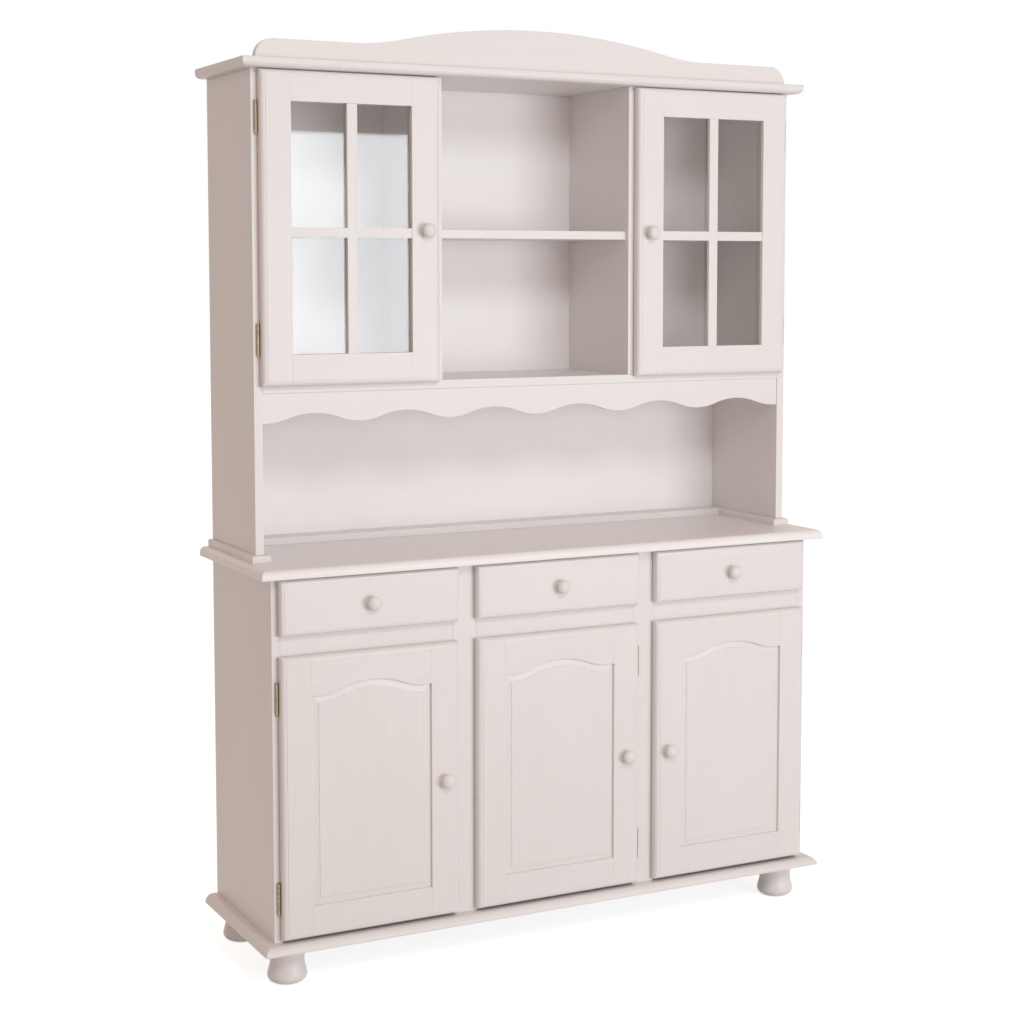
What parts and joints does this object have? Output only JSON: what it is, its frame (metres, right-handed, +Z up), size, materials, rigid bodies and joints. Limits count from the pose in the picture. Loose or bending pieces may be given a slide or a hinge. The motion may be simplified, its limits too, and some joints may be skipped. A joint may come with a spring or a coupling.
{
  "type": "sideboard",
  "caption": "White painted dresser: base with drawers over arched panelled doors on bun feet, hutch with glazed doors, open bays, waved valance and arched pediment.",
  "frame": {"origin": "on the floor, under the middle of the object's box", "axes": "+X to the right seen from the front, +Y to the rear, +Z up; the fronts face -Y"},
  "size_m": [1.327, 0.404, 1.93],
  "materials": {
    "painted_pine": "white paint, satin, faint grain",
    "knob_wood": "white paint, satin",
    "back_board": "white painted fibreboard, matt",
    "bare_pine": "bare planed pine",
    "brass": "brassed steel, dull",
    "glass": "clear polished"
  },
  "bodies": {
    "carcass": {"base_back": "back_board", "base_divider_left": "painted_pine", "base_divider_right": "painted_pine", "base_mullion_left": "painted_pine", "base_mullion_right": "painted_pine", "base_shelves": "painted_pine", "base_side_left": "painted_pine", "base_side_right": "painted_pine", "bottom_board": "painted_pine", "cornice": "painted_pine", "drawer_bearers": "bare_pine", "drawer_rails": "painted_pine", "foot_front_left": "painted_pine", "foot_front_right": "painted_pine", "foot_rear_left": "painted_pine", "foot_rear_right": "painted_pine", "hinge_leaves_fixed": "brass", "hinge_pins": "brass", "hutch_back": "back_board", "hutch_divider_left": "painted_pine", "hutch_divider_right": "painted_pine", "hutch_floor": "painted_pine", "hutch_foot_back": "painted_pine", "hutch_foot_left": "painted_pine", "hutch_foot_right": "painted_pine", "hutch_shelves": "painted_pine", "hutch_side_left": "painted_pine", "hutch_side_right": "painted_pine", "pediment": "painted_pine", "valance": "painted_pine", "worktop": "painted_pine"},
    "drawer_left": {"drawer_left_box": "bare_pine", "drawer_left_front": "painted_pine", "drawer_left_knob": "knob_wood"},
    "base_door_left": {"base_door_left_frame": "painted_pine", "base_door_left_hinge_leaves": "brass", "base_door_left_knob": "knob_wood", "base_door_left_panel": "painted_pine"},
    "drawer_middle": {"drawer_middle_box": "bare_pine", "drawer_middle_front": "painted_pine", "drawer_middle_knob": "knob_wood"},
    "base_door_middle": {"base_door_middle_frame": "painted_pine", "base_door_middle_hinge_leaves": "brass", "base_door_middle_knob": "knob_wood", "base_door_middle_panel": "painted_pine"},
    "drawer_right": {"drawer_right_box": "bare_pine", "drawer_right_front": "painted_pine", "drawer_right_knob": "knob_wood"},
    "base_door_right": {"base_door_right_frame": "painted_pine", "base_door_right_hinge_leaves": "brass", "base_door_right_knob": "knob_wood", "base_door_right_panel": "painted_pine"},
    "hutch_door_left": {"hutch_door_left_frame": "painted_pine", "hutch_door_left_glass": "glass", "hutch_door_left_hinge_leaves": "brass", "hutch_door_left_knob": "knob_wood"},
    "hutch_door_right": {"hutch_door_right_frame": "painted_pine", "hutch_door_right_glass": "glass", "hutch_door_right_hinge_leaves": "brass", "hutch_door_right_knob": "knob_wood"}
  },
  "joints": [
    {"name": "drawer_left_slide", "type": "slide", "parent": "carcass", "child": "drawer_left", "axis": [0, -1, 0], "range_m": [0, 0.25]},
    {"name": "drawer_middle_slide", "type": "slide", "parent": "carcass", "child": "drawer_middle", "axis": [0, -1, 0], "range_m": [0, 0.25]},
    {"name": "drawer_right_slide", "type": "slide", "parent": "carcass", "child": "drawer_right", "axis": [0, -1, 0], "range_m": [0, 0.25]},
    {"name": "base_door_left_hinge", "type": "hinge", "parent": "carcass", "child": "base_door_left", "pos_m": [-0.626, -0.1596, 0.3875], "axis": [0, 0, -1], "range_deg": [0, 110]},
    {"name": "base_door_middle_hinge", "type": "hinge", "parent": "carcass", "child": "base_door_middle", "pos_m": [0.197, -0.1596, 0.3875], "axis": [0, 0, 1], "range_deg": [0, 85]},
    {"name": "base_door_right_hinge", "type": "hinge", "parent": "carcass", "child": "base_door_right", "pos_m": [0.626, -0.1596, 0.3875], "axis": [0, 0, 1], "range_deg": [0, 110]},
    {"name": "hutch_door_left_hinge", "type": "hinge", "parent": "carcass", "child": "hutch_door_left", "pos_m": [-0.626, -0.0736, 1.511], "axis": [0, 0, -1], "range_deg": [0, 110]},
    {"name": "hutch_door_right_hinge", "type": "hinge", "parent": "carcass", "child": "hutch_door_right", "pos_m": [0.626, -0.0736, 1.511], "axis": [0, 0, 1], "range_deg": [0, 110]}
  ]
}
